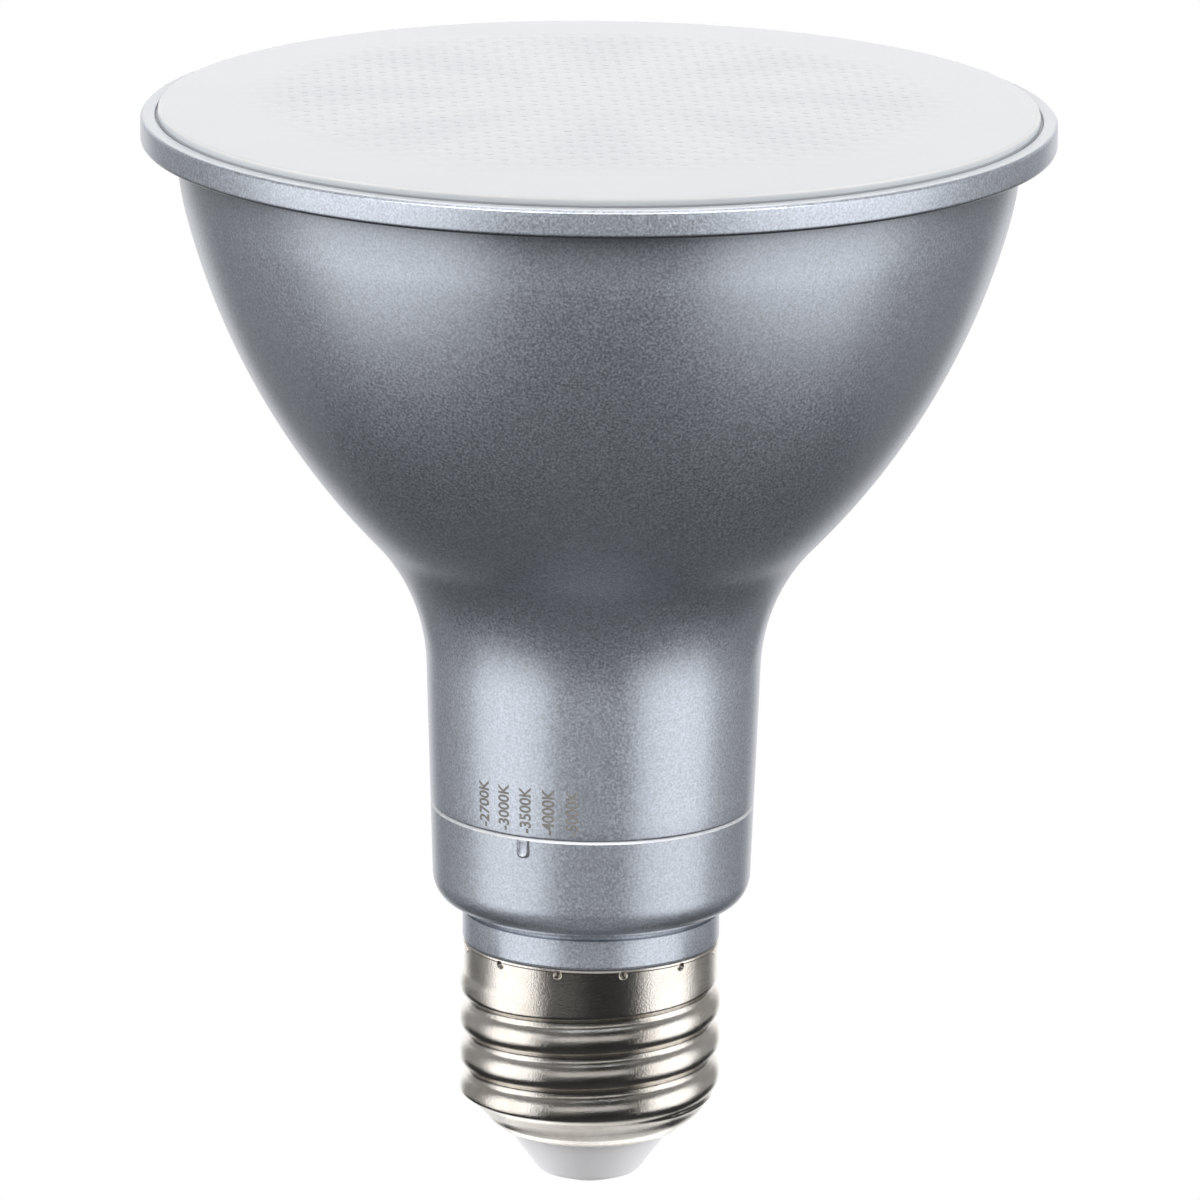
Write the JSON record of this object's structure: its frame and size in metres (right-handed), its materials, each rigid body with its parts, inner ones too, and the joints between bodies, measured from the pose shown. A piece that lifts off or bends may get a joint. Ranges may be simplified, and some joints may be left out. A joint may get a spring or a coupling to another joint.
{
  "type": "reflector spotlight bulb",
  "caption": "Long-neck reflector spotlight bulb: silver bell shell with a flat rim, frosted domed lens, screw base, and a selector ring under the neck that turns to set the light's colour.",
  "frame": {"origin": "middle of the centre contact's flat underside, on the lamp's axis, where the screw base seats in a socket", "axes": "+Z along the lamp's axis from the base to the lens, -Y the front where the colour scale and the pointer are, +X to the right as seen from the front"},
  "size_m": [0.09, 0.09, 0.1107],
  "materials": {
    "shell_silver": "satin metallic silver paint with a fine sparkle",
    "ring_silver": "satin metallic silver paint on plastic",
    "holder_silver": "satin metallic silver paint on plastic",
    "lens_frosted": "frosted, with small pillow lenses",
    "cap_nickel": "bright nickel plate",
    "insulator_white": "smooth white",
    "contact_metal": "plain metal",
    "wiper_brass": "bright strip",
    "dish_aluminium": "plain stamped sheet",
    "board_white": "white solder mask",
    "chip_yellow": "phosphor",
    "screw_steel": "zinc plate",
    "connector_white": "moulded",
    "reflector_white": "bright white",
    "board_green": "solder mask",
    "component_black": "moulded",
    "film_red": "dipped",
    "can_sleeve": "shrink sleeve",
    "ferrite": "sintered",
    "resistor_body": "coated",
    "transformer_tape": "taped winding on a dark core",
    "lead_red": "insulation",
    "lead_white": "insulation"
  },
  "bodies": {
    "lamp": {"center_contact": "contact_metal", "insulator": "insulator_white", "screw_cap": "cap_nickel", "base_holder": "holder_silver", "housing": "shell_silver", "front_lens": "lens_frosted", "heat_dish": "dish_aluminium", "led_board": "board_white", "led_chips": "chip_yellow", "board_screws": "screw_steel", "board_connector": "connector_white", "reflector": "reflector_white", "driver_board": "board_green", "selector_board": "board_green", "bridge_rectifier": "component_black", "driver_chip": "component_black", "input_capacitor": "film_red", "output_capacitor": "can_sleeve", "filter_choke": "ferrite", "fuse_resistor": "resistor_body", "transformer": "transformer_tape", "live_lead": "lead_red", "neutral_lead": "lead_white", "led_leads": "lead_white"},
    "ring": {"selector_ring": "ring_silver", "wiper_contact": "wiper_brass"}
  },
  "joints": [
    {"name": "selector_turn", "type": "hinge", "parent": "lamp", "child": "ring", "pos_m": [0, 0, 0.0337], "axis": [0, 0, 1], "range_deg": [-17.4, 17.4]}
  ]
}
